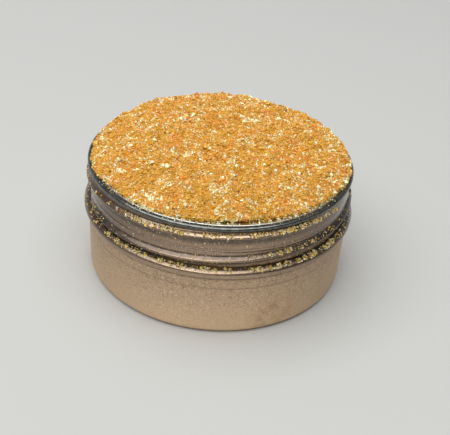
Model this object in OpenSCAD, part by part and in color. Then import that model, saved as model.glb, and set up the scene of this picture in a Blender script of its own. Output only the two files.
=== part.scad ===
// Round screw-neck tin of crushed rosin, heaped above its lip.
// Millimetres, +Z up. The origin is the centre of the tin's base, on the surface it stands on.

/* [Tin body] */
// Outside diameter of the body wall
body_d = 68; // [60:1:80]
// Height from the base to the top of the lip
tin_h = 30.6; // [28:0.2:36]
// Thickness of the drawn aluminium sheet
wall_t = 0.5; // [0.4:0.05:0.7]
// Outside radius of the bend between base and wall
foot_r = 1.7; // [1:0.1:3]
// Height of the faint step below the stop bead
step_z = 13.7; // [11:0.1:15]
// How far the band above the step stands proud of the body wall
step_out = 0.15; // [0.05:0.05:0.3]

/* [Stop bead] */
// Outside diameter of the bead that the lid's skirt stops on
bead_d = 70.4; // [69:0.1:84]
// Height of the middle of the bead
bead_z = 18.1; // [17.5:0.1:18.3]
// Height of the bead from edge to edge
bead_w = 2.7; // [2:0.1:2.8]

/* [Neck and lip] */
// Outside diameter of the neck between the ridges
neck_d = 66.9; // [58:0.1:79]
// Outside diameter of the rolled lip
lip_d = 68; // [60:0.5:80]
// Radius of the lip's outer roll
lip_roll_r = 0.55; // [0.4:0.05:0.7]
// Diameter of the mouth inside the lip
mouth_d = 61; // [54:0.2:74]

/* [Thread] */
// Rise of the thread ridge in one full turn
thread_pitch = 6.4; // [4:0.1:7]
// How far the ridge stands out of the neck
thread_h = 1.0; // [0.6:0.1:1.3]
// Height of the ridge from edge to edge
thread_w = 2.0; // [1.6:0.1:2.2]
// Height of the ridge's middle where it passes the front
thread_front_z = 21.6; // [21.5:0.1:22.5]
// Angle before the front at which the ridge begins
thread_lead_in = 80; // [30:1:80]
// Angle past the front at which the ridge ends
thread_run = 410; // [300:1:430]
// Height at which the ridge's middle levels out under the lip
thread_top_z = 28.0; // [27.5:0.1:28.4]
// Height below which the ridge's middle doesn't fall, above the bead
thread_low_z = 20.9; // [20.9:0.1:21.3]

/* [Rosin] */
// Clearance between the rosin and the tin
rosin_gap = 0.3; // [0.2:0.05:0.5]
// Height of the heap's middle above the lip
crown_h = 5.4; // [3:0.1:8]
// Steepness of the heap's bank: larger is steeper
bank_power = 3.2; // [2:0.1:4]
// Roundness of the heap's top: larger is flatter
top_power = 2.2; // [1.6:0.1:4]
// Diameter of the heap where it spreads over the lip
brim_d = 64.2; // [56:0.2:76]

/* [Grains] */
// Grains modelled one by one on the heap
heap_count = 340; // [120:10:420]
// Size of an ordinary grain
grain_size = 1.5; // [0.8:0.1:1.8]
// Size of a crumb on the lip, the thread and the bead
crumb_size = 0.9; // [0.5:0.1:1.1]

/* [Hidden] */

$fn = 96;

body_r = body_d / 2;
band_r = body_r + step_out;
bead_r = bead_d / 2;
neck_r = neck_d / 2;
lip_r = lip_d / 2;
mouth_r = mouth_d / 2;
brim_r = brim_d / 2;

arc_steps = 8;
lip_roll_z = tin_h - lip_roll_r;     // centre of the lip's outer roll
lip_fall = 0.4;                      // drop of the lip from its top to the mouth
lip_inner_r = 0.45;                  // radius of the lip's inner roll
lip_under_z = lip_roll_z - lip_roll_r;

// Angle, seen from above, at which the front of the tin lies
front = -90;
// The ridge's ends fade into the neck over this angle
thread_fade = 26;
thread_step = 5;
thread_root = 0.3;                   // depth to which the ridge's section is sunk in the wall
section_count = 8;

charge_r = mouth_r - rosin_gap;
charge_bottom = wall_t;              // the rosin rests on the tin's floor
edge_cut = 1;                        // bevel at the foot of the packed rosin
crown_steps = 36;

golden_angle = 137.508;

// Points along an arc from angle a0 to angle a1
function arc(cx, cz, r, a0, a1, n = arc_steps) =
  [for (i = [0:n]) let (a = a0 + (a1 - a0) * i / n) [cx + r * cos(a), cz + r * sin(a)]];

// Points of the stop bead's bulge, which leaves and rejoins the wall smoothly, from below upwards
function bead_bulge(below_r, above_r, crest_r) =
  [for (i = [0:2 * arc_steps])
    let (t = i / (2 * arc_steps), base_r = below_r + (above_r - below_r) * t)
    [base_r + (crest_r - base_r) * pow(sin(180 * t), 0.55), bead_z + (t - 0.5) * bead_w]];

// Height of the heap at a distance from the middle
function heap_z(r) =
  tin_h + crown_h * pow(max(0, 1 - pow(min(1, r / brim_r), top_power)), 1 / bank_power);

// 0 at an end of the ridge, rising to 1 within the fade angle
function fade(a) = let (t = min(1, min(a + thread_lead_in, thread_run - a) / thread_fade))
  max(0, t * t * (3 - 2 * t));

// Height of the ridge's middle at an angle past the front
function thread_z(a) = max(thread_low_z, min(thread_top_z, thread_front_z + thread_pitch * a / 360));

// One closed ring of points across the ridge: its rounded face, then its root in the wall.
// inset moves the face inwards, for the hollow behind the ridge.
function ridge_ring(a, inset) = let (
    height = (thread_h + thread_root) * fade(a) - 0.5 * thread_root,
    root_r = neck_r - thread_root - inset
  ) concat(
    [for (i = [0:section_count])
      let (
        t = i / section_count,
        r = root_r + 0.5 * thread_root + height * pow(sin(180 * t), 1.4),
        z = thread_z(a) + (t - 0.5) * (thread_w - inset)
      ) [r * cos(front + a), r * sin(front + a), z]],
    [for (t = [1, 0])
      let (r = root_r - inset, z = thread_z(a) + (t - 0.5) * (thread_w - inset))
      [r * cos(front + a), r * sin(front + a), z]]
  );

// The ridge as one closed sweep round the neck
module ridge(inset = 0) {
  count = round((thread_run + thread_lead_in) / thread_step);
  side = section_count + 3;
  rings = [for (i = [0:count]) ridge_ring(-thread_lead_in + i * thread_step, inset)];
  walls = [
    for (i = [0:count - 1], j = [0:side - 1])
    let (a = i * side + j, b = i * side + (j + 1) % side, c = a + side, d = b + side)
    each [[a, b, d], [a, d, c]]
  ];
  first = [for (j = [0:side - 1]) j];
  last = [for (j = [side - 1:-1:0]) count * side + j];
  polyhedron(points = [for (ring = rings) each ring], faces = concat(walls, [last, first]));
}

// Inside of the drawn sheet, from under the lip down to the middle of the base
function inner_side() = concat(
  [[neck_r - wall_t, lip_under_z - 0.2]],
  [for (i = [2 * arc_steps:-1:0])
    let (p = bead_bulge(band_r, neck_r, bead_r)[i])
    [p[0] - wall_t, bead_z + (p[1] - bead_z) * (1 - 1.4 * wall_t / bead_w)]],
  [[band_r - wall_t, step_z + 0.15], [body_r - wall_t, step_z - 0.15]],
  arc(body_r - foot_r, foot_r, foot_r - wall_t, 0, -90),
  [[0, wall_t]]
);

// Outside of the drawn sheet, from the middle of the base up to and over the lip
function outer_side() = concat(
  [[0, 0]],
  arc(body_r - foot_r, foot_r, foot_r, -90, 0),
  [[body_r, step_z - 0.15], [band_r, step_z + 0.15]],
  bead_bulge(band_r, neck_r, bead_r),
  [[neck_r, lip_under_z]],
  arc(lip_r - lip_roll_r, lip_roll_z, lip_roll_r, -70, 90),
  arc(mouth_r + lip_inner_r, tin_h - lip_fall - lip_inner_r, lip_inner_r, 105, 270)
);

// The tin: one aluminium sheet, drawn, beaded, threaded and rolled over at the lip
module tin_shell() {
  color("#B89A7C")
  difference() {
    union() {
      rotate_extrude($fn = 180) polygon(concat(outer_side(), inner_side()));
      ridge();
    }
    ridge(inset = wall_t);
  }
}

// The packed rosin: a loose plug that fills the mouth, with the heap on top
module rosin_charge() {
  color("#D9932F")
  rotate_extrude($fn = 120) polygon(concat(
    [[0, charge_bottom], [charge_r - edge_cut, charge_bottom], [charge_r, charge_bottom + edge_cut]],
    [[charge_r, tin_h - lip_fall], [brim_r, tin_h]],
    [for (i = [1:crown_steps])
      let (r = brim_r * sqrt(1 - pow(i / crown_steps, 2))) [r, heap_z(r)]]
  ));
}

// A chip of rosin: a lopsided prism, turned about three axes
module chip(size, turn, skew = 0) {
  rotate([turn * 1.7, turn * 2.3, turn])
  translate([0, 0, -0.35 * size])
  linear_extrude(height = 0.7 * size)
  polygon([for (i = [0:4])
    let (a = 72 * i + 19 * sin(turn + 90 * i), r = size * (0.46 + 0.1 * sin(3 * turn + 130 * i + skew)))
    [r * cos(a), r * sin(a)]]);
}

// Chips on the heap: every position of one spiral whose number leaves one of these remainders
module heap_chips(remainders, size, seed, sink = 0.22, every = 20) {
  vary = rands(0, 1, heap_count * 3, seed);
  for (i = [0:heap_count - 1])
    if (len([for (k = remainders) if (k == i % every) k]) > 0)
      let (
        r = (brim_r - 1.4) * sqrt((i + 0.5) / heap_count),
        a = golden_angle * i + 1.4 * (vary[3 * i] - 0.5),
        s = size * (0.75 + 0.5 * vary[3 * i + 1])
      )
      rotate([0, 0, a]) translate([r, 0, heap_z(r) + (0.35 - sink) * s])
      chip(s, 360 * vary[3 * i + 2], i);
}

module amber_grains() {
  color("#E0A040") heap_chips([0, 2, 3, 5, 6, 8, 10, 11, 13, 15, 17, 19], grain_size, 11);
}

module orange_lumps() {
  color("#DC7A1E") heap_chips([1, 7, 12, 16], 1.2 * grain_size, 23);
}

module pale_flakes() {
  color("#F6E2B0") heap_chips([4, 9, 14], 0.8 * grain_size, 37);
}

module brown_crumbs() {
  color("#8A5220") heap_chips([18], 0.9 * grain_size, 41);
}

// Crumbs along a ledge from angle a0 to a1 past the front. z_at gives the ledge's height there.
module ledge_crumbs(a0, a1, count, r, z_at, size, seed) {
  vary = rands(0, 1, (count + 1) * 4, seed);
  for (i = [0:count - 1])
    let (
      a = a0 + (a1 - a0) * (i + 0.3 * vary[4 * i]) / count,
      s = size * (0.6 + 0.4 * vary[4 * i + 1])
    )
    if (vary[4 * i + 3] < 0.8)
      rotate([0, 0, front + a]) translate([r, 0, z_at(a) + 0.3 * s])
      chip(s, 360 * vary[4 * i + 2], i);
}

module lip_crumbs() {
  color("#EBC372")
  ledge_crumbs(0, 360, 30, lip_r - lip_roll_r, function (a) tin_h, 0.7 * crumb_size, 53);
}

module upper_thread_crumbs() {
  color("#C89B4A")
  ledge_crumbs(270, 370, 34, neck_r + 0.45, function (a) thread_z(a) + 0.3 * thread_w, crumb_size, 59);
}

module lower_thread_crumbs() {
  color("#C89B4A")
  ledge_crumbs(-80, 200, 56, neck_r + 0.45, function (a) thread_z(a) + 0.3 * thread_w, crumb_size, 61);
}

module bead_crumbs() {
  color("#C89B4A")
  ledge_crumbs(0, 360, 110, bead_r - 0.85, function (a) bead_z + 0.35 * bead_w, crumb_size, 67);
}

tin_shell();
rosin_charge();
amber_grains();
orange_lumps();
pale_flakes();
brown_crumbs();
lip_crumbs();
upper_thread_crumbs();
lower_thread_crumbs();
bead_crumbs();
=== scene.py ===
import math

import bmesh
import bpy
import numpy as np
from bpy.props import FloatProperty, FloatVectorProperty, IntProperty, PointerProperty
from mathutils import Matrix, Vector, noise


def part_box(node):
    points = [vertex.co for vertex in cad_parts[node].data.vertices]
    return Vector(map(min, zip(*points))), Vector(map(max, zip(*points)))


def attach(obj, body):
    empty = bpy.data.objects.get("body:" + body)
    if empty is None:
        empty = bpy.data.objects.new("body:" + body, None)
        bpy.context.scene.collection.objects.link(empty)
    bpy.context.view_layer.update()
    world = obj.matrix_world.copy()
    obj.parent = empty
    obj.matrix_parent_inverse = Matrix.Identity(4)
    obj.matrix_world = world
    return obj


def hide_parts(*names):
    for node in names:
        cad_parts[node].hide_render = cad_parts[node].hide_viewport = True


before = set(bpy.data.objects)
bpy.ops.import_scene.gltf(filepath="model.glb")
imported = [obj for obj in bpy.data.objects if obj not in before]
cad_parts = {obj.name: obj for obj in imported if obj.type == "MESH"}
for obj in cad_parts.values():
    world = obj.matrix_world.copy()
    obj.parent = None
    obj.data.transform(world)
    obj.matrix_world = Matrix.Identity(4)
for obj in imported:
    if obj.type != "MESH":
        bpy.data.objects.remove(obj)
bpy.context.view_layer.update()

bl_info = {
    "name": "Tin of Crushed Rosin",
    "version": (1, 0, 0),
    "blender": (4, 5, 0),
    "location": "View3D > Sidebar > Rosin",
    "description": "Builds the looks of a screw tin heaped with crushed rosin round its CAD frame",
    "category": "Object",
}

MM = 0.001
TURN = 2 * math.pi
FRONT = -math.pi / 2
GOLDEN_ANGLE = math.pi * (3 - math.sqrt(5))
HEAP_SEED, GRAIN_SEED, CRUMB_SEED = 7, 100, 31
LAMP_PLACE, LAMP_SIZE = (-0.15, -0.17, 0.83), 1.2
FLOOR_R, FLOOR_DROP = 4.0, 0.00002

_, TIN_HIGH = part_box("tin_shell")
CHARGE_LOW, CHARGE_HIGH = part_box("rosin_charge")
BEAD_R = TIN_HIGH.x
TIN_H = TIN_HIGH.z
BRIM_R = CHARGE_HIGH.x
CROWN_H = CHARGE_HIGH.z - TIN_H


# ---- settings


def length(name, description, default, low=0.0, high=0.1):
    """A size in metres, shown in the scene's own unit."""
    return FloatProperty(
        name=name, description=description, default=default, min=low, max=high,
        subtype="DISTANCE", unit="LENGTH", precision=5,
    )


def colour(name, description, default):
    """A linear colour."""
    return FloatVectorProperty(
        name=name, description=description, default=default, min=0.0, max=1.0, subtype="COLOR", size=3,
    )


class RosinTinSettings(bpy.types.PropertyGroup):
    """Sizes and colours of the drawn tin."""

    body_r: length("Body radius", "Outside radius of the body wall", BEAD_R - 1.2 * MM)
    band_out: length("Band", "How far the band under the bead stands proud", 0.15 * MM)
    step_z: length("Step height", "Height of the faint step below the bead", 13.7 * MM)
    foot_r: length("Foot bend", "Outside radius of the bend between base and wall", 1.7 * MM)
    wall: length("Sheet thickness", "Thickness of the aluminium sheet", 0.5 * MM)
    bead_z: length("Bead height", "Height of the middle of the stop bead", 18.1 * MM)
    bead_w: length("Bead width", "Height of the stop bead from edge to edge", 2.7 * MM)
    neck_r: length("Neck radius", "Outside radius of the neck between the ridges", BEAD_R - 1.75 * MM)
    neck_taper: length("Neck taper", "How far the neck draws in towards the lip", 0.55 * MM)
    taper_z: length("Taper height", "Height at which the neck starts to draw in", 25.8 * MM)
    lip_r: length("Lip radius", "Outside radius of the rolled lip", BEAD_R - 1.2 * MM)
    lip_roll: length("Lip roll", "Radius of the lip's outer roll", 0.55 * MM)
    lip_inner: length("Lip inner roll", "Radius of the lip's inner roll", 0.45 * MM)
    lip_fall: length("Lip fall", "Drop of the lip from its top to the mouth", 0.4 * MM)
    mouth_r: length("Mouth radius", "Radius of the mouth inside the lip", BEAD_R - 4.7 * MM)
    thread_pitch: length("Thread pitch", "Rise of the ridge in one turn", 6.4 * MM)
    thread_out: length("Thread height", "How far the ridge stands out of the neck", 1.0 * MM)
    thread_w: length("Thread width", "Height of the ridge from edge to edge", 2.2 * MM)
    thread_z: length("Thread at front", "Height of the ridge's middle at the front", 21.6 * MM)
    thread_top: length("Thread top", "Height at which the ridge levels out under the lip", 28.0 * MM)
    thread_low: length("Thread foot", "Height below which the ridge's middle doesn't fall", 20.9 * MM)
    scribe_z: length("Scribed ring", "Height of the scribed ring round the neck", 23.75 * MM)
    champagne: colour("Champagne", "Anodised outside of the tin", (0.533, 0.380, 0.252))
    silver: colour("Bare metal", "Bare aluminium of the lip and the inside", (0.60, 0.62, 0.58))


class RosinHeapSettings(bpy.types.PropertyGroup):
    """Sizes, numbers and colours of the crushed rosin."""

    grain: length("Grain", "Middling width of a grain", 0.54 * MM)
    lump: length("Lump", "Height of the heap's unevenness", 0.85 * MM)
    grain_count: IntProperty(
        name="Grains", description="Grains that cover the heap", default=21000, min=1000, max=26000,
    )
    crumb: length("Crumb", "Middling width of a stray crumb", 0.55 * MM)
    amber: colour("Amber", "Ordinary grains", (0.69, 0.365, 0.036))
    orange: colour("Orange", "Deeper orange grains", (0.74, 0.30, 0.028))
    straw: colour("Straw", "Pale grains", (0.97, 0.85, 0.52))
    brown: colour("Brown", "Dark grains", (0.34, 0.17, 0.04))
    bed: colour("Bed", "Packed rosin between and under the grains", (0.64, 0.325, 0.036))


class RosinStageSettings(bpy.types.PropertyGroup):
    """Floor, lights and camera."""

    floor_colour: colour("Floor", "Pale floor", (0.465, 0.468, 0.447))
    lamp_power: FloatProperty(
        name="Soft box", description="Power of the large soft box", default=11.7, min=0.0, unit="POWER",
    )
    world_strength: FloatProperty(
        name="Surround", description="Strength of the surround", default=0.9, min=0.0,
    )
    lens: FloatProperty(name="Lens", description="Focal length in millimetres", default=64.0, min=10.0)
    pitch: FloatProperty(
        name="Pitch", description="Angle at which the camera looks down", default=math.radians(33.26),
        subtype="ANGLE",
    )
    roll: FloatProperty(
        name="Roll", description="Lean of the camera about its own axis", default=math.radians(4.31),
        subtype="ANGLE",
    )
    distance: length("Distance", "From the camera to its aim", 0.2225, 0.05, 2.0)


# ---- mesh helpers


def new_piece(name, points, faces, materials, face_materials=None, smooth=True):
    """A mesh object from points and faces, with one material number for each face."""
    mesh = bpy.data.meshes.new(name)
    mesh.from_pydata(np.asarray(points, float).tolist(), [], faces)
    for material in materials:
        mesh.materials.append(material)
    if face_materials is not None:
        mesh.polygons.foreach_set("material_index", np.asarray(face_materials, np.int32))
    mesh.polygons.foreach_set("use_smooth", np.full(len(mesh.polygons), smooth))
    mesh.validate()
    mesh.update()
    piece = bpy.data.objects.new(name, mesh)
    bpy.context.scene.collection.objects.link(piece)
    return piece


def arc(cx, cz, r, start, end, count):
    """Points along an arc of an outline, with angles in degrees."""
    return [
        (cx + r * math.cos(math.radians(a)), cz + r * math.sin(math.radians(a)))
        for a in np.linspace(start, end, count)
    ]


def straight(start, end, count):
    """Evenly spaced points from start to just before end."""
    return [
        (start[0] + (end[0] - start[0]) * t, start[1] + (end[1] - start[1]) * t)
        for t in np.arange(count) / count
    ]


def turned_faces(rows, columns):
    """Quads of a turned surface, then a fan at its first ring and one at its last.

    The fans' middle points come straight after the rings' points."""
    i, j = np.meshgrid(np.arange(rows - 1), np.arange(columns), indexing="ij")
    a = i * columns + j
    b = i * columns + (j + 1) % columns
    quads = np.stack([a, b, b + columns, a + columns], -1).reshape(-1, 4)
    ring = np.arange(columns)
    last_ring = ring + (rows - 1) * columns
    first_fan = np.stack([np.roll(ring, -1), ring, np.full(columns, rows * columns)], -1)
    last_fan = np.stack([last_ring, np.roll(last_ring, -1), np.full(columns, rows * columns + 1)], -1)
    return quads.tolist() + first_fan.tolist() + last_fan.tolist()


def smoothstep(t):
    """0 to 1 with a level start and end."""
    t = np.clip(t, 0, 1)
    return t * t * (3 - 2 * t)


def round_axis(radii, angles, z):
    """Points at radii, angles past the front and heights (arrays)."""
    return np.stack([radii * np.cos(FRONT + angles), radii * np.sin(FRONT + angles), z], -1)


# ---- the tin's shape

BEAD_SQUARENESS = 0.55
THREAD_LEAD_IN, THREAD_RUN, THREAD_FADE = math.radians(80), math.radians(410), math.radians(26)
SEAM_IN, SEAM_HALF = 1.45 * MM, 0.16 * MM
SCRIBE_GAP = 0.75 * MM
TIN_COLUMNS = 300


def bead_bulge(s, below_r, above_r, count, inset=0.0):
    """The stop bead from below upwards. inset moves its face in by the sheet, for the hollow behind it."""
    points = []
    height = s.bead_w - 1.4 * inset
    for t in (1 - np.cos(np.linspace(0, math.pi, count))) / 2:
        wall_r = below_r + (above_r - below_r) * t
        out = (BEAD_R - wall_r) * max(0.0, math.sin(math.pi * t)) ** BEAD_SQUARENESS
        points.append((wall_r + out - inset, s.bead_z + (t - 0.5) * height))
    return points


def scribed_rows(s, radius, low, high, step):
    """Rows up the neck, with the two fine scribed lines cut into them."""
    scribe_depth, scribe_half = 0.16 * MM, 0.16 * MM
    rows = set(np.arange(low, high, step))
    for line_z in (s.scribe_z, s.scribe_z + SCRIBE_GAP):
        rows.update(line_z + scribe_half * k for k in (-1, -0.5, 0, 0.5, 1))
    points = []
    for z in sorted(rows):
        deep = scribe_depth * max(0, 1 - abs(z - s.scribe_z) / scribe_half)
        faint = 0.3 * scribe_depth * max(0, 1 - abs(z - s.scribe_z - SCRIBE_GAP) / scribe_half)
        points.append((tapered(s, radius, z) - deep - faint, z))
    return points


def tapered(s, radius, z):
    """Radius of the neck at a height: straight, then drawn in towards the lip."""
    t = min(1.0, max(0.0, (z - s.taper_z) / (TIN_H - 2 * s.lip_roll - s.taper_z)))
    return radius - s.neck_taper * t ** 1.4


def tin_outline(s):
    """The drawn sheet in section: the outside up to and over the lip, then the inside down to the floor.

    Returns the points and, for each, whether the thread is rolled into it and whether it is bare metal."""
    band_r = s.body_r + s.band_out
    lip_z = TIN_H - s.lip_roll
    under_z = lip_z - s.lip_roll
    neck_foot = s.bead_z + s.bead_w / 2
    bead_low = s.bead_z - s.bead_w / 2
    bend_r = s.body_r - s.foot_r
    inner_neck_r = s.neck_r - s.wall
    inner_band_r, inner_body_r = band_r - s.wall, s.body_r - s.wall
    middle_r = 0.4 * MM
    row = 0.15 * MM
    mouth_z = TIN_H - s.lip_fall - s.lip_inner
    step = [(s.body_r, s.step_z - row), (s.body_r + 0.4 * s.band_out, s.step_z), (band_r, s.step_z + row)]

    base = straight((middle_r, 0), (bend_r, 0), 12)
    base += arc(bend_r, s.foot_r, s.foot_r, -90, 0, 12)
    base += straight((s.body_r, s.foot_r + 0.3 * MM), step[0], 20) + step
    base += straight((band_r, s.step_z + 0.4 * MM), (band_r, bead_low), 6)
    base += bead_bulge(s, band_r, s.neck_r, 20)
    neck = scribed_rows(s, s.neck_r, neck_foot + row, under_z, row)
    seam_r = s.lip_r - SEAM_IN
    bevel_r = s.mouth_r + s.lip_inner
    lip = arc(s.lip_r - s.lip_roll, lip_z, s.lip_roll, -70, 90, 14)
    lip += [
        (seam_r + 0.5 * MM, TIN_H - 0.02 * MM), (seam_r + SEAM_HALF, TIN_H - 0.06 * MM),
        (seam_r, TIN_H - 0.22 * MM), (seam_r - SEAM_HALF, TIN_H - 0.08 * MM),
    ]
    lip += straight((seam_r - 2 * SEAM_HALF, TIN_H - 0.10 * MM), (bevel_r, mouth_z + s.lip_inner), 8)
    lip += arc(bevel_r, mouth_z, s.lip_inner, 105, 270, 12)
    under_bevel = (bevel_r + 0.3 * MM, mouth_z - s.lip_inner)
    inside_top = under_z - 0.2 * MM
    lip += straight(under_bevel, (inner_neck_r - s.neck_taper, inside_top), 4)
    inner_neck = [(tapered(s, inner_neck_r, z), z) for z in np.arange(inside_top, neck_foot, -2 * row)]
    inside = bead_bulge(s, band_r, s.neck_r, 20, s.wall)[::-1]
    inside += straight((inner_band_r, bead_low - 0.2 * MM), (inner_band_r, s.step_z), 5)
    inside += straight((inner_body_r, s.step_z - 0.2 * MM), (inner_body_r, s.foot_r), 16)
    inside += arc(bend_r, s.foot_r, s.foot_r - s.wall, 0, -90, 8)
    inside += straight((bend_r - 1 * MM, s.wall), (middle_r, s.wall), 14)

    parts = (
        (base, False, False), (neck, True, False), (lip, False, True), (inner_neck, True, True),
        (inside, False, True),
    )
    points = np.array([p for part, _, _ in parts for p in part])
    rolled = np.array([r for part, r, _ in parts for _ in part])
    bare = np.array([b for part, _, b in parts for _ in part])
    return points, rolled, bare


def thread_turns(s, z, past_front):
    """For each turn that may pass an angle: the angle run from the front, how far across the ridge
    each height lies (-1 to 1), and how far the ridge has risen out of the neck there."""
    for turn in (-1, 0, 1):
        run = past_front + TURN * turn
        middle = np.clip(s.thread_z + s.thread_pitch * run / TURN, s.thread_low, s.thread_top)
        across = (z - middle) / (s.thread_w / 2)
        yield run, across, smoothstep(np.minimum(run + THREAD_LEAD_IN, THREAD_RUN - run) / THREAD_FADE)


def thread_offset(s, z, past_front):
    """How far the ridge pushes the neck out at each height and angle past the front (arrays)."""
    out = np.zeros(np.broadcast(z, past_front).shape)
    for _, across, risen in thread_turns(s, z, past_front):
        out = np.maximum(out, risen * (0.5 + 0.5 * np.cos(np.clip(across, -1, 1) * math.pi)))
    return s.thread_out * out


def soft_band(value, middle, half):
    """1 in the middle of a band, falling smoothly to 0 at its edges."""
    return smoothstep(1 - np.abs(value - middle) / half)


def grime_and_shade_amount(s, r, z, past_front):
    """How much grime and painted shade lies at each point of the outside, from 0 to 1."""
    under_z = TIN_H - 2 * s.lip_roll
    bead_low, bead_top = s.bead_z - s.bead_w / 2, s.bead_z + s.bead_w / 2
    dirt_and_shade = np.zeros(z.shape)
    # painted shadow under the lip and the stop bead, painted shade in the scribed lines and at the step, and
    # painted shade that dulls the highlight on the bead's top
    for middle, half, amount in (
        (under_z + 0.2 * MM, 1.25 * MM, 0.95),
        (s.scribe_z, 0.24 * MM, 1.0),
        (s.scribe_z + SCRIBE_GAP, 0.14 * MM, 0.4),
        (bead_top - 0.12 * MM, 0.62 * MM, 0.88),
        (bead_low - 0.05 * MM, 0.55 * MM, 0.95),
        (s.step_z, 0.2 * MM, 0.45),
    ):
        dirt_and_shade = np.maximum(dirt_and_shade, amount * soft_band(z, middle, half))
    # painted shadow under each turn of the ridge, painted shade at its upper root, and painted shade that
    # dulls its highlight on the flank and towards the sides
    for run, across, risen in thread_turns(s, z, past_front):
        upper = smoothstep((run - math.radians(180)) / math.radians(60))
        shaded_sides = smoothstep((np.abs(run) - math.radians(14)) / math.radians(22))
        flank = smoothstep((across - 0.2) / 0.2) * smoothstep((1.3 - across) / 0.3)
        for amount in (
            0.80 * soft_band(across, -1.1 - 0.15 * upper, 0.6 + 0.65 * upper),
            0.95 * soft_band(across, 1.0, 0.30),
            0.80 * (1 - upper) * flank,
            0.86 * (1 - upper) * shaded_sides * soft_band(across, 0.3, 0.9),
        ):
            dirt_and_shade = np.maximum(dirt_and_shade, risen * amount)
    # painted shade on the lip's seam and outer roll, which dulls their reflection
    seam_r = s.lip_r - SEAM_IN
    on_lip = np.maximum(soft_band(r, seam_r, 0.22 * MM), 0.90 * smoothstep((r - seam_r) / (0.15 * MM)))
    return np.where(z > under_z, on_lip * (z > TIN_H - 1 * MM), dirt_and_shade)


def build_tin(s, materials):
    """The whole tin in one closed mesh, with its grime and painted shade as an attribute for the finishes to
    read.
    """
    outline, rolled, bare = tin_outline(s)
    a = np.arange(TIN_COLUMNS) * TURN / TIN_COLUMNS
    past_front = (a + math.pi) % TURN - math.pi
    r = outline[:, 0][:, None] + np.zeros(TIN_COLUMNS)
    z = outline[:, 1][:, None] + np.zeros(TIN_COLUMNS)
    r = r + np.where(rolled[:, None], thread_offset(s, z, past_front[None, :]), 0)
    points = np.vstack([round_axis(r, a, z).reshape(-1, 3), [[0, 0, 0], [0, 0, s.wall]]])
    slots = [np.repeat(bare[:-1], TIN_COLUMNS), np.zeros(TIN_COLUMNS), np.ones(TIN_COLUMNS)]
    faces = turned_faces(len(outline), TIN_COLUMNS)
    tin = new_piece("tin_drawn_shell", points, faces, materials, np.concatenate(slots))
    tin.data.set_sharp_from_angle(angle=math.radians(50))
    dirt_and_shade = grime_and_shade_amount(s, r, z, past_front[None, :] + np.zeros_like(z))
    rows_over_lip = 30
    outside = np.arange(len(outline)) < np.argmax(outline[:, 1] >= TIN_H - s.lip_roll) + rows_over_lip
    dirt_and_shade = np.where(outside[:, None], dirt_and_shade, 0).reshape(-1)
    # the attribute holds grime and painted shade: painted shadow under the lip, the bead and the ridge, and
    # painted shade over highlights
    grime_and_shade = tin.data.attributes.new("grime_and_shade", "FLOAT", "POINT")
    grime_and_shade.data.foreach_set("value", np.concatenate([dirt_and_shade, [0, 0]]).astype(np.float32))
    return tin


# ---- the heap's shape


BANK_POWER_FRONT, BANK_POWER_BACK = 1.7, 3.3
TOP_POWER = 2.2
EDGE_HOLD = 30
SKIRT_COUNT = 2600
PLUG_R = BRIM_R - 1.9 * MM
PLUG_TOP, PLUG_FOOT = TIN_H - 0.55 * MM, CHARGE_LOW.z
BED_COLUMNS, BED_TOP_ROWS, PLUG_ROWS = 360, 150, 90
BED_SINK = 0.12 * MM


def edge_radius(a):
    """Radius at which the heap meets the lip, at an angle past the front."""
    a = (a + math.pi) % TURN - math.pi
    near_front = float(smoothstep((math.radians(68) - abs(a)) / math.radians(18)))
    hollow = math.exp(-((a - math.radians(11)) / math.radians(19)) ** 2)
    spread = 0.4 * MM * noise.noise(Vector((3 * math.cos(a), 3 * math.sin(a), 5.0)))
    fine = 0.4 * MM * noise.noise(Vector((13 * math.cos(a), 13 * math.sin(a), 9.0)))
    return BRIM_R + 0.8 * MM - 1.1 * MM * near_front - 1.5 * MM * hollow + spread + fine


def heap_profile(share, a):
    """Height of the smooth heap above the lip at a share of its radius: steep behind, gentle in front."""
    behind = float(smoothstep(0.5 + 0.5 * math.cos(a - math.radians(160))))
    power = BANK_POWER_FRONT + (BANK_POWER_BACK - BANK_POWER_FRONT) * behind
    return CROWN_H * max(0.0, 1 - min(1.0, share) ** TOP_POWER) ** (1 / power)


def heap_lumps(x, y, height):
    """Unevenness of the heap at a place, fading out at its edge."""
    p = Vector((x, y, 0)) / MM
    wide = noise.noise(p / 9.0 + Vector((0, 0, 1.7)))
    middle = noise.noise(p / 3.4 + Vector((0, 0, 4.1)))
    small = noise.noise(p / 1.5 + Vector((0, 0, 7.9)))
    return height * (0.8 * wide + 1.6 * middle + 0.5 * small)


def heap_point(share, a, lump):
    """A point on the uneven heap. a is the angle past the front."""
    r = share * edge_radius(a)
    x = r * math.cos(FRONT + a)
    y = r * math.sin(FRONT + a)
    hold = 1 - min(1.0, share) ** EDGE_HOLD
    z = TIN_H + heap_profile(share, a) + hold * (heap_lumps(x, y, lump) - 0.5 * lump)
    return x, y, z


def heap_shares(count):
    """Shares of the heap's radius that spread grains evenly over its surface, bank included."""
    steps_out = 4000
    fine = np.sqrt(np.linspace(0, 1, steps_out))
    heights = np.array([heap_profile(t, math.pi / 2) for t in fine])
    steps = np.hypot(np.diff(fine) * BRIM_R, np.diff(heights))
    area = np.concatenate([[0], np.cumsum(steps * (fine[1:] + fine[:-1]) / 2)])
    return np.interp((np.arange(count) + 0.5) / count * area[-1], area, fine)


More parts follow.
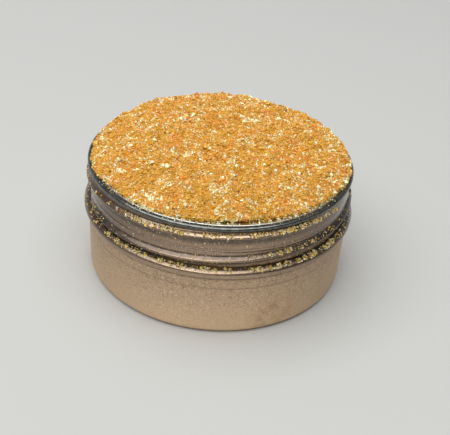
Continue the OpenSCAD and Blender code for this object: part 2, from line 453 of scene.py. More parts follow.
def bed_points(lump):
    """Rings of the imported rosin: out over the uneven heap, then down the side of the plug to its foot."""
    points = []
    angles = np.arange(BED_COLUMNS) * TURN / BED_COLUMNS
    for i in range(BED_TOP_ROWS):
        share = 0.01 + 0.985 * math.sin(0.5 * math.pi * (i + 0.5) / BED_TOP_ROWS)
        for a in angles:
            x, y, z = heap_point(share, a, lump)
            points.append((x, y, z - BED_SINK))
    for i in range(PLUG_ROWS + 1):
        z = PLUG_TOP - i / PLUG_ROWS * (PLUG_TOP - PLUG_FOOT)
        corner = 0.9 * MM * max(0.0, 1 - (z - PLUG_FOOT) / (1.0 * MM))
        for a in angles:
            across, along = math.cos(FRONT + a), math.sin(FRONT + a)
            p = Vector((PLUG_R * across, PLUG_R * along, z)) / MM
            rough = 0.22 * noise.noise(p / 0.9) + 0.25 * noise.noise(p / 2.6)
            r = PLUG_R - 0.3 * MM + rough * MM - corner
            points.append((r * across, r * along, z))
    crown = heap_point(0.0, 0.0, lump)[2] - BED_SINK
    return points + [(0, 0, crown), (0, 0, PLUG_FOOT)]


def heap_cover(s, draw):
    """Places and widths of the grains that cover the heap, from its crown to its edge."""
    count = s.grain_count
    angles = np.arange(count) * GOLDEN_ANGLE + draw.normal(0, 0.004, count)
    widths = s.grain * np.clip(draw.lognormal(0, 0.36, count), 0.5, 2.6)
    lifts = draw.uniform(-0.30, 0.22, count) * s.grain
    places = np.array([heap_point(t, a, s.lump) for t, a in zip(heap_shares(count), angles)])
    places[:, 2] += lifts
    return places, widths


def heap_skirt(s, draw):
    """Places and widths of the small grains that lie along the heap's edge, down on the lip."""
    angles = draw.uniform(-math.pi, math.pi, SKIRT_COUNT)
    radii = np.array([edge_radius(a) for a in angles]) + draw.uniform(-0.75, 0.2, SKIRT_COUNT) * MM
    heights = TIN_H + draw.uniform(-0.5, -0.05, SKIRT_COUNT) * MM
    return round_axis(radii, angles, heights), s.grain * draw.uniform(0.5, 1.0, SKIRT_COUNT)


def patches(places, small, small_shift, wide, wide_shift, weight):
    """A patchy value at each place: noise of a small size, and wider noise of the given weight."""
    return np.array([
        noise.noise(Vector(p) / small + Vector(small_shift))
        + weight * noise.noise(Vector(p) / wide + Vector(wide_shift))
        for p in places
    ])


# ---- grains


CHIP_SHAPES, CHIP_CORNERS = 40, 8


def chip_shapes(seed):
    """Convex angular chips about one unit wide, as arrays of points and triangles."""
    draw = np.random.default_rng(seed)
    shapes = []
    for _ in range(CHIP_SHAPES):
        corners = draw.normal(size=(CHIP_CORNERS, 3))
        corners /= np.linalg.norm(corners, axis=1)[:, None]
        corners *= draw.uniform(0.38, 0.56, (CHIP_CORNERS, 1))
        work = bmesh.new()
        for corner in corners:
            work.verts.new(corner)
        hull = bmesh.ops.convex_hull(work, input=work.verts)
        bmesh.ops.delete(work, geom=hull["geom_interior"], context="VERTS")
        bmesh.ops.recalc_face_normals(work, faces=work.faces)
        work.verts.index_update()
        shapes.append((
            np.array([v.co[:] for v in work.verts]),
            np.array([[v.index for v in f.verts] for f in work.faces]),
        ))
        work.free()
    return shapes


def random_turns(draw, count):
    """Rotation matrices from even random quaternions."""
    q = draw.normal(size=(count, 4))
    w, x, y, z = (q / np.linalg.norm(q, axis=1)[:, None]).T
    return np.stack([
        np.stack([1 - 2 * (y * y + z * z), 2 * (x * y - w * z), 2 * (x * z + w * y)], -1),
        np.stack([2 * (x * y + w * z), 1 - 2 * (x * x + z * z), 2 * (y * z - w * x)], -1),
        np.stack([2 * (x * z - w * y), 2 * (y * z + w * x), 1 - 2 * (x * x + y * y)], -1),
    ], -2)


def grain_piece(name, places, widths, shades, materials, seed):
    """One mesh of separate chips, at the given places, with one material number for each chip."""
    draw = np.random.default_rng(seed)
    shapes = chip_shapes(seed)
    turns = random_turns(draw, len(places))
    stretch = draw.uniform(0.6, 1.25, (len(places), 3))
    picks = draw.integers(0, len(shapes), len(places))
    points, faces, slots, base = [], [], [], 0
    for place, width, shade, turn, scale, pick in zip(places, widths, shades, turns, stretch, picks):
        corners, triangles = shapes[pick]
        points.append((corners * scale * width) @ turn.T + place)
        faces.append(triangles + base)
        slots.append(np.full(len(triangles), shade))
        base += len(corners)
    return new_piece(
        name, np.vstack(points), np.vstack(faces).tolist(), materials, np.concatenate(slots), smooth=False,
    )


# ---- stray crumbs


# shares of gold, straw, amber and brown crumbs
LIP_MIX = (0.14, 0.74, 0.10, 0.02)
CRUMB_MIX = (0.46, 0.22, 0.20, 0.12)
DUST_MIX = (0.30, 0.40, 0.05, 0.25)

# how many crumbs; (share spread evenly, from, to); (angle, width, weight) of each drift
LIP_DRIFTS = (5200, (0.35, -180, 180), ((-52, 14, 5), (-22, 9, 5), (34, 9, 3), (60, 10, 3), (9, 12, 2)))
UPPER_DRIFTS = (
    2300, (0.12, -88, 52),
    ((-40, 6, 2), (-27, 6, 4), (-15, 5, 4), (-2, 5, 2), (9, 4, 2), (24, 4, 4), (33, 6, 6), (46, 6, 3)),
)
LOWER_DRIFTS = (1100, (0.42, -70, 268), ((14, 1.5, 2), (27, 3.5, 5), (33, 3, 3), (44, 6, 2), (-50, 8, 1)))
BEAD_DRIFTS = (
    3300, (0.26, -180, 180),
    (
        (-43, 4, 5), (-52, 8, 3), (-33, 6, 4), (-20, 6, 5), (-9, 6, 4), (3, 6, 4), (15, 6, 5), (28, 5, 6),
        (41, 4, 5), (51, 6, 5), (64, 8, 3),
    ),
)
NECK_DRIFTS = (700, (0.5, -180, 180), ((-25, 12, 3), (0, 12, 3), (32, 9, 3)))
WALL_COUNT = 1500
INNER_LIP, INNER_LIP_SHARE = 1.5 * MM, 0.86


def drifts(draw, count, spread_share, centres):
    """Angles past the front, in radians: some anywhere in a range, the rest gathered in drifts.

    spread_share is (share, from, to) in degrees; centres are (angle, width, weight) in degrees."""
    share, low, high = spread_share
    angles = draw.uniform(low, high, count)
    middles, widths, weights = np.array(centres, float).T
    picks = draw.choice(len(centres), count, p=weights / weights.sum())
    gathered = middles[picks] + widths[picks] * draw.normal(size=count)
    return np.radians(np.where(draw.random(count) < share, angles, gathered))


def clumped(draw, angles):
    """Thin the crumbs out between knots, as dust gathers against dust."""
    knots = np.array([
        noise.noise(Vector((26 * math.cos(a), 26 * math.sin(a), 3.0)))
        + 0.8 * noise.noise(Vector((60 * math.cos(a), 60 * math.sin(a), 8.0)))
        for a in angles
    ])
    return angles[draw.random(len(angles)) < np.clip(0.42 + 1.9 * knots, 0.04, 1.0)]


def lip_height(s):
    """A function for the height of dust on the lip, at an angle and a radius."""
    crest_r = s.lip_r - s.lip_roll

    def height(a, r):
        slope = s.lip_fall * max(0.0, crest_r - r) / (crest_r - s.mouth_r)
        over = max(0.0, r - crest_r)
        return TIN_H - slope - s.lip_roll + math.sqrt(max(0.0, s.lip_roll ** 2 - over ** 2)) + 0.08 * MM

    return height


def ridge_height(s, turn):
    """A function for the height of dust on the ridge's upper side, in the given turn."""

    def height(a, r):
        past = a + TURN * turn
        middle = min(s.thread_top, max(s.thread_low, s.thread_z + s.thread_pitch * past / TURN))
        out = min(1.0, max(0.0, (r - s.neck_r) / s.thread_out))
        return middle + s.thread_w / 2 * math.acos(2 * out - 1) / math.pi + 0.12 * MM

    return height


def shelf_height(s):
    """A function for the height of dust on the stop bead's upper side."""

    def height(a, r):
        out = min(1.0, max(0.0, (r - s.neck_r) / (BEAD_R - s.neck_r)))
        t = 1 - math.asin(out ** (1 / BEAD_SQUARENESS)) / math.pi
        return s.bead_z + (t - 0.5) * s.bead_w + 0.10 * MM

    return height


def ledge_places(draw, angles, radius_range, heights):
    """Places on a ledge: a radius drawn from its range and the ledge's height at that angle and radius."""
    radii = draw.uniform(*radius_range, len(angles))
    return round_axis(radii, angles, np.array([heights(a, r) for a, r in zip(angles, radii)]))


# ---- shader helpers


def new_material(name):
    """A material, its node tree and its Principled BSDF."""
    material = bpy.data.materials.new(name)
    material.use_nodes = True
    return material, material.node_tree, material.node_tree.nodes["Principled BSDF"]


def feed(tree, node, values):
    """Give a node's inputs, by name or number, constant values or the sockets that feed them."""
    for key, value in values.items():
        socket = node.inputs[key]
        if isinstance(value, bpy.types.NodeSocket):
            tree.links.new(value, socket)
        else:
            socket.default_value = (*value, 1) if socket.type == "RGBA" else value
    return node


def add(tree, kind, inputs=None, **settings):
    """A shader node with its settings, and with its inputs fed."""
    node = tree.nodes.new("ShaderNode" + kind)
    for key, value in settings.items():
        setattr(node, key, value)
    return feed(tree, node, inputs or {})


def math_node(tree, operation, *values, clamp=False):
    """One step of arithmetic on numbers and sockets."""
    return add(tree, "Math", dict(enumerate(values)), operation=operation, use_clamp=clamp).outputs[0]


def times(tree, first, second):
    """Two numbers or sockets multiplied."""
    return math_node(tree, "MULTIPLY", first, second)


def plus(tree, first, second):
    """Two numbers or sockets added."""
    return math_node(tree, "ADD", first, second)


def ramp(tree, value, low, high, start=0.0, end=1.0):
    """A value taken from low..high to start..end, and held there."""
    inputs = {"Value": value, "From Min": low, "From Max": high, "To Min": start, "To Max": end}
    return add(tree, "MapRange", inputs).outputs["Result"]


def mix_colour(tree, factor, first, second):
    """The first colour, mixed with the second by a factor."""
    return add(tree, "Mix", {0: factor, 6: first, 7: second}, data_type="RGBA").outputs[2]


def noise_value(tree, coordinates, scale, detail, roughness=0.55):
    """Cloudy noise from 0 to 1."""
    inputs = {"Vector": coordinates, "Scale": scale, "Detail": detail, "Roughness": roughness}
    return add(tree, "TexNoise", inputs).outputs["Fac"]


def bump(tree, height, distance, strength, **under):
    """A normal tilted by a height, over the normal given as Normal if there is one."""
    inputs = {"Height": height, "Distance": distance, "Strength": strength, **under}
    return add(tree, "Bump", inputs).outputs["Normal"]


def object_place(tree):
    """Where a point lies on its own piece."""
    return add(tree, "TexCoord").outputs["Object"]


def axes(tree, vector):
    """The X, Y and Z of a vector."""
    return add(tree, "SeparateXYZ", {"Vector": vector}).outputs


def new_group(name, inputs, outputs):
    """A shader node group of float sockets, with its start, its end and its piece's coordinates."""
    group = bpy.data.node_groups.new(name, "ShaderNodeTree")
    for label, default in inputs.items():
        socket = group.interface.new_socket(label, in_out="INPUT", socket_type="NodeSocketFloat")
        socket.default_value = default
    for label in outputs:
        group.interface.new_socket(label, in_out="OUTPUT", socket_type="NodeSocketFloat")
    start = group.nodes.new("NodeGroupInput").outputs
    return group, start, group.nodes.new("NodeGroupOutput"), object_place(group)


# ---- shared effects


def flecks_group(name):
    """Fine flecks of pigment in a finish: a mask of light flecks, one of dark flecks, and a height."""
    group, start, end, place = new_group(name, {"Scale": 3000.0, "Amount": 0.5}, ("Light", "Dark", "Height"))
    cells = add(group, "TexVoronoi", {"Vector": place, "Scale": start["Scale"]}, feature="F1")
    shade = add(group, "SeparateColor", {"Color": cells.outputs["Color"]}).outputs
    light = ramp(group, shade["Red"], 0.76, 0.98)
    dark = ramp(group, shade["Green"], 0.76, 0.98)
    feed(group, end, {
        "Light": times(group, light, start["Amount"]),
        "Dark": times(group, dark, start["Amount"]),
        "Height": shade["Blue"],
    })
    return group


def clouds_group(name):
    """Soft uneven patches: handling marks, thin places in a finish, drifts of dust."""
    group, start, end, place = new_group(name, {"Scale": 120.0, "Low": 0.4, "High": 0.65}, ("Mask",))
    cloud = noise_value(group, place, start["Scale"], 4.0, 0.5)
    feed(group, end, {"Mask": ramp(group, cloud, start["Low"], start["High"])})
    return group


def turning_marks_group(name):
    """Fine lines that run round a spun or rolled surface, unevenly deep."""
    group, start, end, place = new_group(name, {"Lines": 9000.0, "Break up": 60.0}, ("Height",))
    at = axes(group, place)
    square = plus(group, times(group, at["X"], at["X"]), times(group, at["Y"], at["Y"]))
    radius = math_node(group, "SQRT", square)
    angle = math_node(group, "ARCTAN2", at["Y"], at["X"])
    lines = add(group, "CombineXYZ", {
        "X": times(group, plus(group, radius, at["Z"]), start["Lines"]),
        "Y": times(group, angle, 2.0),
        "Z": times(group, radius, start["Break up"]),
    })
    feed(group, end, {"Height": noise_value(group, lines.outputs["Vector"], 1.0, 2.0, 0.5)})
    return group


def height_mask_group(name):
    """How far up a surface lies between two heights, from 0 to 1."""
    group, start, end, place = new_group(name, {"Low": 0.0, "High": 0.01}, ("Mask",))
    feed(group, end, {"Mask": ramp(group, axes(group, place)["Z"], start["Low"], start["High"])})
    return group


GROUP_MAKERS = {
    "metal_flecks": flecks_group,
    "soft_clouds": clouds_group,
    "turning_marks": turning_marks_group,
    "height_mask": height_mask_group,
}


def effect(tree, name, **inputs):
    """The outputs of a shared effect, which is built the first time that a finish asks for it."""
    group = bpy.data.node_groups.get(name) or GROUP_MAKERS[name](name)
    return add(tree, "Group", inputs, node_tree=group).outputs


# ---- finishes


RESIN = {"IOR": 1.54, "Subsurface Radius": (1.0, 0.5, 0.15), "Subsurface Scale": 0.5 * MM}


def grime_and_shade_mask(tree, low, high):
    """The mesh's own grime and painted shade, broken up by clouds between two strengths."""
    grime_and_shade = add(tree, "Attribute", attribute_name="grime_and_shade").outputs["Fac"]
    clouds = effect(tree, "soft_clouds", Scale=900.0, Low=0.3, High=0.6)["Mask"]
    return times(tree, grime_and_shade, ramp(tree, clouds, 0, 1, low, high))


def painted_side_shade(tree):
    """How much painted shade darkens the neck and wall at the left and the right of the front."""
    x = axes(tree, object_place(tree))["X"]
    # painted shade to the right of the front, then to the left
    right = ramp(tree, x, 9 * MM, 27 * MM, 0.0, 0.9)
    left = ramp(tree, x, -10 * MM, -27 * MM, 0.0, 0.8)
    return plus(tree, right, left)


def stain_mask(tree, s):
    """Where rosin has smeared and stained the wall, low down to the right of the front."""
    place = object_place(tree)
    angle = FRONT + math.radians(27)
    middle = (s.body_r * math.cos(angle), s.body_r * math.sin(angle), 4.0 * MM)
    distance = add(tree, "VectorMath", {0: place, 1: middle}, operation="DISTANCE").outputs["Value"]
    broken = ramp(tree, noise_value(tree, place, 520.0, 4.0), 0.38, 0.66, 0.02, 0.62)
    return times(tree, ramp(tree, distance, 8.5 * MM, 1.0 * MM), broken)


def scaled(tone, red, green, blue):
    """A colour with each of its channels scaled."""
    return tuple(min(1.0, c * k) for c, k in zip(tone, (red, green, blue)))


def champagne_anodised(s):
    """Matte, pearly champagne anodising: glossier on the neck, lighter above the foot with painted bounce
    light, with painted shade at its sides and grime with painted shade in its creases.
    """
    material, tree, shader = new_material("champagne_anodised")
    flecks = effect(tree, "metal_flecks", Scale=3000.0, Amount=1.0)
    clouds = effect(tree, "soft_clouds", Scale=70.0, Low=0.35, High=0.7)["Mask"]
    neck = effect(tree, "height_mask", Low=s.bead_z - 1.2 * MM, High=s.bead_z + 0.4 * MM)["Mask"]
    rise = effect(tree, "height_mask", Low=0.0, High=s.step_z)["Mask"]
    marks = effect(tree, "turning_marks", **{"Lines": 7000.0, "Break up": 40.0})["Height"]
    shaded_sides = painted_side_shade(tree)
    grime_and_shade = grime_and_shade_mask(tree, 0.7, 0.95)
    champagne = tuple(s.champagne)
    light = scaled(champagne, 1.45, 1.45, 1.45)
    dark = scaled(champagne, 0.5, 0.5, 0.5)
    # the colour of the painted bounce light from the floor
    mottle_and_bounce_light = scaled(champagne, 1.66, 1.72, 1.66)
    neck_dark = scaled(champagne, 0.49, 0.45, 0.44)
    # the colour of the painted shade at the neck's sides
    side_shade_tone = scaled(champagne, 0.20, 0.17, 0.18)
    stain = (0.42, 0.20, 0.055)
    black = (0.036, 0.026, 0.021)

    body = mix_colour(tree, flecks["Light"], champagne, light)
    body = mix_colour(tree, times(tree, flecks["Dark"], 0.9), body, dark)
    body = mix_colour(tree, times(tree, clouds, 0.22), body, light)
    # painted bounce light: the wall lighter towards the foot
    body = mix_colour(tree, ramp(tree, rise, 0, 1, 0.75, 0.0), body, mottle_and_bounce_light)
    body = mix_colour(tree, stain_mask(tree, s), body, stain)
    # painted shade at the left and the right: on the neck, and more faintly on the body
    neck_tone = mix_colour(tree, shaded_sides, mix_colour(tree, 0.65, body, neck_dark), side_shade_tone)
    body = mix_colour(tree, times(tree, shaded_sides, 0.4), body, dark)
    rough = plus(tree, ramp(tree, neck, 0, 1, 0.50, 0.20), ramp(tree, clouds, 0, 1, -0.03, 0.05))
    grain = bump(tree, flecks["Height"], 0.02 * MM, 0.35)
    feed(tree, shader, {
        # grime and painted shade darken the colour towards black
        "Base Color": mix_colour(tree, grime_and_shade, mix_colour(tree, neck, body, neck_tone), black),
        "Metallic": ramp(tree, neck, 0, 1, 0.72, 0.88),
        "Roughness": plus(tree, rough, times(tree, grime_and_shade, 0.2)),
        "Coat Weight": times(tree, neck, 0.55),
        "Coat Roughness": 0.12,
        "Coat IOR": 1.6,
        "Normal": bump(tree, marks, 0.01 * MM, 0.25, Normal=grain),
    })
    return material


def bare_aluminium(s):
    """Bare, rolled aluminium with turning marks, a film of rosin dust, and painted shade that dulls the
    lip's seam and outer roll.
    """
    material, tree, shader = new_material("bare_aluminium")
    clouds = effect(tree, "soft_clouds", Scale=160.0, Low=0.45, High=0.75)["Mask"]
    marks = effect(tree, "turning_marks", **{"Lines": 9000.0, "Break up": 60.0})["Height"]
    inside = effect(tree, "height_mask", Low=TIN_H - 1.0 * MM, High=TIN_H - 2.5 * MM)["Mask"]
    dust = (0.62, 0.42, 0.18)
    black = (0.05, 0.05, 0.045)
    dusty = times(tree, inside, ramp(tree, clouds, 0, 1, 0.25, 0.8))
    tone = mix_colour(tree, times(tree, clouds, 0.10), tuple(s.silver), dust)
    tone = mix_colour(tree, dusty, tone, dust)
    rough = plus(tree, 0.20, times(tree, dusty, 0.4))
    feed(tree, shader, {
        # painted shade darkens the lip's seam and outer roll towards black
        "Base Color": mix_colour(tree, grime_and_shade_mask(tree, 0.8, 1.0), tone, black),
        "Metallic": math_node(tree, "SUBTRACT", 1.0, times(tree, dusty, 0.8)),
        "Roughness": plus(tree, rough, times(tree, clouds, 0.08)),
        "Normal": bump(tree, marks, 0.015 * MM, 0.3),
    })
    return material


def rosin_grain(name, tone, roughness):
    """Broken resin: glassy faces with faint conchoidal ripples and a little dust."""
    material, tree, shader = new_material(name)
    place = object_place(tree)
    dust = noise_value(tree, place, 2600.0, 2.0)
    ripple = noise_value(tree, place, 5200.0, 1.0)
    feed(tree, shader, {
        **RESIN,
        "Base Color": tone,
        "Subsurface Weight": 0.5,
        "Roughness": ramp(tree, dust, 0.4, 0.75, roughness, roughness + 0.35),
        "Normal": bump(tree, ripple, 0.03 * MM, 0.35),
    })
    return material


def shade_range(name, tone, count, spread, roughness):
    """Several finishes round one colour, from darker to lighter."""
    finishes = []
    for number in range(count):
        t = number / (count - 1) - 0.5
        red, green, blue = (c * (1 + spread * t) for c in tone)
        shade = np.clip((red + 0.03 * t, green + 0.03 * t, blue + 0.06 * t), 0.01, 0.95)
        finishes.append(rosin_grain(f"{name}_{number}", tuple(shade), roughness))
    return finishes


def packed_rosin(s):
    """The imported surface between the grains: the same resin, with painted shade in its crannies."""
    material, tree, shader = new_material("packed_rosin")
    cells = add(tree, "TexVoronoi", {"Vector": object_place(tree), "Scale": 2600.0}).outputs
    shade = add(tree, "SeparateColor", {"Color": cells["Color"]}).outputs
    tone = mix_colour(tree, ramp(tree, shade["Red"], 0, 1), tuple(s.bed), tuple(s.amber))
    tone = mix_colour(tree, ramp(tree, shade["Green"], 0.7, 1), tone, tuple(s.orange))
    tone = mix_colour(tree, ramp(tree, shade["Blue"], 0.88, 0.92), tone, tuple(s.straw))
    # painted shade: darker brown at the cells' edges, in the crannies between them
    crevice_shade = ramp(tree, cells["Distance"], 0.45, 0.8, 0, 0.35)
    raised = math_node(tree, "SUBTRACT", 1.0, cells["Distance"])
    feed(tree, shader, {
        **RESIN,
        "Base Color": mix_colour(tree, crevice_shade, tone, tuple(s.brown)),
        "Subsurface Weight": 0.4,
        "Roughness": ramp(tree, shade["Red"], 0, 1, 0.2, 0.6),
        "Normal": bump(tree, raised, 0.3 * MM, 0.8),
    })
    return material


# ---- operators


class ROSIN_OT_tin(bpy.types.Operator):
    """Draw the tin: base, wall, stop bead, threaded neck and rolled lip in one sheet"""

    bl_idname = "rosin.tin"
    bl_label = "Tin"

    def execute(self, context):
        s = context.scene.rosin_tin
        tin = build_tin(s, [champagne_anodised(s), bare_aluminium(s)])
        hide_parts("tin_shell")
        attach(tin, "tin")
        return {"FINISHED"}


class ROSIN_OT_bed(bpy.types.Operator):
    """Pack the tin: the plug of rosin with the uneven bed that the grains of the heap lie on"""

    bl_idname = "rosin.bed"
    bl_label = "Packed rosin"

    def execute(self, context):
        s = context.scene.rosin_heap
        rows = BED_TOP_ROWS + PLUG_ROWS + 1
        faces = [face[::-1] for face in turned_faces(rows, BED_COLUMNS)]
        bed = new_piece("packed_rosin_bed", bed_points(s.lump), faces, [packed_rosin(s)], smooth=False)
        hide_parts("rosin_charge")
        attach(bed, "rosin")
        return {"FINISHED"}


class ROSIN_OT_heap(bpy.types.Operator):
    """Heap the tin: the loose grains that cover the heap, sorted by colour"""

    bl_idname = "rosin.heap"
    bl_label = "Heaped grains"

    def execute(self, context):
        s = context.scene.rosin_heap
        draw = np.random.default_rng(HEAP_SEED)
        places, widths = (np.concatenate(pair) for pair in zip(heap_cover(s, draw), heap_skirt(s, draw)))
        count = len(places)
        mood = patches(places, 2.6 * MM, (0, 0, 0), 7 * MM, (3, 1, 4), 0.6) + draw.normal(0, 0.28, count)
        frost = patches(places, 1.9 * MM, (5, 9, 2), 5 * MM, (0, 0, 0), 0.7)
        chance = draw.random(count)
        big = draw.random(count)
        pale_share = np.clip(0.03 + 0.85 * frost, 0.03, 0.7)
        amber, orange, straw, brown = range(4)
        kinds = np.where(mood > 0.36, orange, amber)
        kinds = np.where(chance < pale_share, straw, kinds)
        kinds = np.where(chance > 0.990, brown, kinds)
        widths = np.where((kinds == straw) & (big < 0.35), widths * 1.3, widths)
        shadings = (
            ("amber", s.amber, 4, 0.22, 0.30), ("orange", s.orange, 3, 0.22, 0.30),
            ("straw", s.straw, 3, 0.25, 0.04), ("brown", s.brown, 2, 0.6, 0.15),
        )
        groups = (
            (amber, "amber_heap_grains", "amber_grains", "rosin_amber"),
            (orange, "orange_heap_grains", "orange_lumps", "rosin_orange"),
            (straw, "straw_heap_grains", "pale_flakes", "rosin_pale"),
            (brown, "brown_heap_grains", "brown_crumbs", "rosin_brown"),
        )
        for (kind, name, node, slot), shading in zip(groups, shadings):
            chosen = np.flatnonzero(kinds == kind)
            finishes = shade_range(*shading)
            shades = draw.integers(0, len(finishes), len(chosen))
            piece = grain_piece(name, places[chosen], widths[chosen], shades, finishes, GRAIN_SEED + kind)
            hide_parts(node)
            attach(piece, "rosin")
        return {"FINISHED"}


def crumb_finishes():
    """Finishes of stray crumbs: dusty gold, straw, amber and brown."""
    return [
        rosin_grain("crumb_gold", (0.76, 0.52, 0.16), 0.12),
        rosin_grain("crumb_straw", (0.93, 0.82, 0.54), 0.06),
        rosin_grain("crumb_amber", (0.74, 0.42, 0.08), 0.12),
        rosin_grain("crumb_brown", (0.16, 0.095, 0.035), 0.22),
    ]


def crumb_piece(name, places, widths, finishes, mix, seed):
    """Crumbs in one mesh that rides on the tin."""
    draw = np.random.default_rng(seed)
    shades = draw.choice(len(finishes), len(places), p=mix)
    piece = grain_piece(name, places, widths, shades, finishes, seed + 1)
    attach(piece, "tin")
    return piece


class ROSIN_OT_crumbs(bpy.types.Operator):
    """Strew the ledges: crumbs and dust caught on the lip, the thread, the stop bead and the wall"""

    bl_idname = "rosin.crumbs"
    bl_label = "Stray crumbs"

    def execute(self, context):
        s = context.scene.rosin_tin
        crumb = context.scene.rosin_heap.crumb
        finishes = crumb_finishes()
        draw = np.random.default_rng(CRUMB_SEED)

        def widths(places, scale):
            return crumb * scale * np.clip(draw.lognormal(-0.08, 0.45, len(places)), 0.4, 2.4)

        lip = (s.mouth_r + 0.5 * MM, s.lip_r - 0.35 * MM)
        ridge = (s.neck_r + 0.05 * MM, s.neck_r + 0.95 * MM)
        shelf = (s.neck_r + 0.25 * MM, BEAD_R - 0.32 * MM)
        upper, lower = ridge_height(s, 1), ridge_height(s, 0)
        ledges = (
            ("lip_dust", "lip_crumbs", LIP_DRIFTS, lip, lip_height(s), 0.5, LIP_MIX, 41),
            ("upper_thread_dust", "upper_thread_crumbs", UPPER_DRIFTS, ridge, upper, 0.68, CRUMB_MIX, 43),
            ("lower_thread_dust", "lower_thread_crumbs", LOWER_DRIFTS, ridge, lower, 0.62, CRUMB_MIX, 47),
            ("bead_dust", "bead_crumbs", BEAD_DRIFTS, shelf, shelf_height(s), 0.67, CRUMB_MIX, 53),
        )
        for name, node, gathering, across, height, scale, mix, seed in ledges:
            angles = clumped(draw, drifts(draw, *gathering))
            places = ledge_places(draw, angles, across, height)
            if node == "lip_crumbs":
                inner = draw.random(len(places)) < INNER_LIP_SHARE
                radii = np.hypot(places[:, 0], places[:, 1])
                places = places[(radii < s.lip_r - INNER_LIP) == inner]
            piece = crumb_piece(name, places, widths(places, scale), finishes, mix, seed)
            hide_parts(node)

        bead_top, wall_top = s.bead_z + s.bead_w / 2, s.bead_z - s.bead_w / 2
        angles = drifts(draw, *NECK_DRIFTS)
        z = draw.uniform(bead_top + 0.2 * MM, s.taper_z + 1.5 * MM, len(angles))
        radii = np.array([tapered(s, s.neck_r, height) for height in z]) + thread_offset(s, z, angles)
        neck = round_axis(radii + 0.01 * MM, angles, z)
        angles = draw.uniform(-math.pi, math.pi, WALL_COUNT)
        z = s.foot_r + (wall_top - s.foot_r) * draw.random(WALL_COUNT) ** 0.8
        radii = np.where(z > s.step_z, s.body_r + s.band_out, s.body_r) + 0.005 * MM
        wall = round_axis(radii, angles, z)
        sizes = np.concatenate([widths(neck, 0.48), widths(wall, 0.26)])
        crumb_piece("wall_dust", np.vstack([neck, wall]), sizes, finishes, DUST_MIX, 59)
        return {"FINISHED"}


def look_at(location, target):
    """The matrix of a lamp at location that looks at target."""
    direction = Vector(target) - Vector(location)
    return Matrix.Translation(location) @ direction.to_track_quat("-Z", "Y").to_matrix().to_4x4()


def surround(strength):
    """The room that the metal mirrors: bright overhead and low behind, dark to the front and right."""
    world = bpy.data.worlds.new("surround")
    world.use_nodes = True
    tree = world.node_tree
    way = axes(tree, add(tree, "TexCoord").outputs["Generated"])
    overhead = ramp(tree, way["Z"], 0.55, 0.95, 0.0, 0.75)
    behind = times(tree, ramp(tree, way["Y"], 0.55, 0.97), ramp(tree, way["Z"], 0.32, 0.22))
    left = ramp(tree, way["X"], 0.1, -0.9, 0.0, 0.12)
    middle = times(tree, ramp(tree, way["Y"], -0.2, 0.6), 0.22)
    haze = ramp(tree, way["Z"], 0.45, 0.0, 0.03, 0.62)
    glow = plus(tree, plus(tree, overhead, behind), plus(tree, left, middle))
    glow = math_node(tree, "ADD", glow, haze, clamp=True)
    feed(tree, tree.nodes["Background"], {
        "Color": mix_colour(tree, glow, (0, 0, 0), (0.97, 0.98, 1.0)),
        "Strength": strength,
    })
    return world


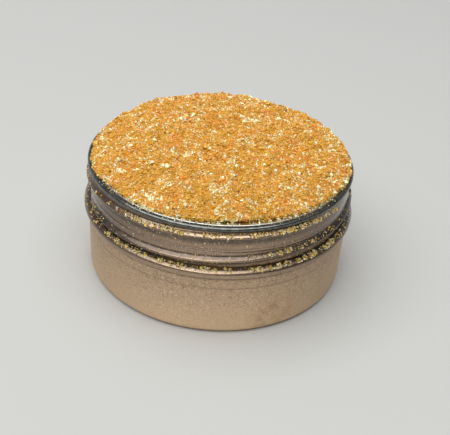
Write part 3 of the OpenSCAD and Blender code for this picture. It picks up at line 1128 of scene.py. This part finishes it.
class ROSIN_OT_stage(bpy.types.Operator):
    """Set the stage: a pale floor, a large soft box, an even surround and the camera"""

    bl_idname = "rosin.stage"
    bl_label = "Stage"

    def execute(self, context):
        s = context.scene.rosin_stage
        scene = context.scene
        scene.view_settings.view_transform = "Standard"
        bpy.ops.mesh.primitive_circle_add(
            vertices=128, radius=FLOOR_R, fill_type="NGON", location=(0, 0, -FLOOR_DROP),
        )
        floor = context.object
        floor.name = "floor"
        material, tree, shader = new_material("pale_card")
        cloud = noise_value(tree, object_place(tree), 14.0, 3.0)
        # a mottle of the card's own tone, lighter in patches
        mottle_and_bounce_light = ramp(tree, cloud, 0.3, 0.7, 0, 0.06)
        tone = mix_colour(tree, mottle_and_bounce_light, tuple(s.floor_colour), (0.5, 0.5, 0.5))
        feed(tree, shader, {"Base Color": tone, "Roughness": 0.75})
        floor.data.materials.append(material)

        lamp = bpy.data.lights.new("soft_box", "AREA")
        lamp.shape = "RECTANGLE"
        lamp.size = LAMP_SIZE
        lamp.size_y = LAMP_SIZE
        lamp.energy = s.lamp_power
        box = bpy.data.objects.new("soft_box", lamp)
        box.matrix_world = look_at(LAMP_PLACE, (0, 0, 0))
        scene.collection.objects.link(box)
        scene.world = surround(s.world_strength)

        scale = BEAD_R - 1.2 * MM
        aim_right, aim_up = -0.061 * scale, -0.281 * scale
        level, fall = math.cos(s.pitch), math.sin(s.pitch)
        forward = Vector((0, level, -fall))
        right = Vector((1, 0, 0))
        up = Vector((0, fall, level))
        eye = -s.distance * forward - right * aim_right - up * aim_up
        leaned_right = math.cos(s.roll) * right + math.sin(s.roll) * up
        leaned_up = -math.sin(s.roll) * right + math.cos(s.roll) * up
        turn = Matrix((leaned_right, leaned_up, -forward)).transposed().to_4x4()
        camera = bpy.data.cameras.new("camera")
        camera.lens = s.lens
        camera.sensor_width = 36.0
        camera.clip_start = 0.01
        camera.clip_end = 20.0
        eye_object = bpy.data.objects.new("camera", camera)
        eye_object.matrix_world = Matrix.Translation(eye) @ turn
        scene.collection.objects.link(eye_object)
        scene.camera = eye_object
        return {"FINISHED"}


# ---- panel


class ROSIN_PT_panel(bpy.types.Panel):
    """The tin of rosin's sizes, colours and build steps"""

    bl_idname = "ROSIN_PT_panel"
    bl_label = "Tin of Rosin"
    bl_space_type = "VIEW_3D"
    bl_region_type = "UI"
    bl_category = "Rosin"

    def draw(self, context):
        for group in (context.scene.rosin_tin, context.scene.rosin_heap, context.scene.rosin_stage):
            box = self.layout.box()
            for key in group.__annotations__:
                box.prop(group, key)
        for operator in OPERATORS:
            self.layout.operator(operator.bl_idname)


SETTINGS = {
    "rosin_tin": RosinTinSettings,
    "rosin_heap": RosinHeapSettings,
    "rosin_stage": RosinStageSettings,
}
OPERATORS = (ROSIN_OT_stage, ROSIN_OT_tin, ROSIN_OT_bed, ROSIN_OT_heap, ROSIN_OT_crumbs)
CLASSES = (*SETTINGS.values(), *OPERATORS, ROSIN_PT_panel)


def register():
    for item in CLASSES:
        bpy.utils.register_class(item)
    for name, group in SETTINGS.items():
        setattr(bpy.types.Scene, name, PointerProperty(type=group))


def unregister():
    for name in SETTINGS:
        delattr(bpy.types.Scene, name)
    for item in reversed(CLASSES):
        bpy.utils.unregister_class(item)


def main():
    register()
    bpy.ops.rosin.stage()
    bpy.ops.rosin.tin()
    bpy.ops.rosin.bed()
    bpy.ops.rosin.heap()
    bpy.ops.rosin.crumbs()


if __name__ == "__main__":
    main()
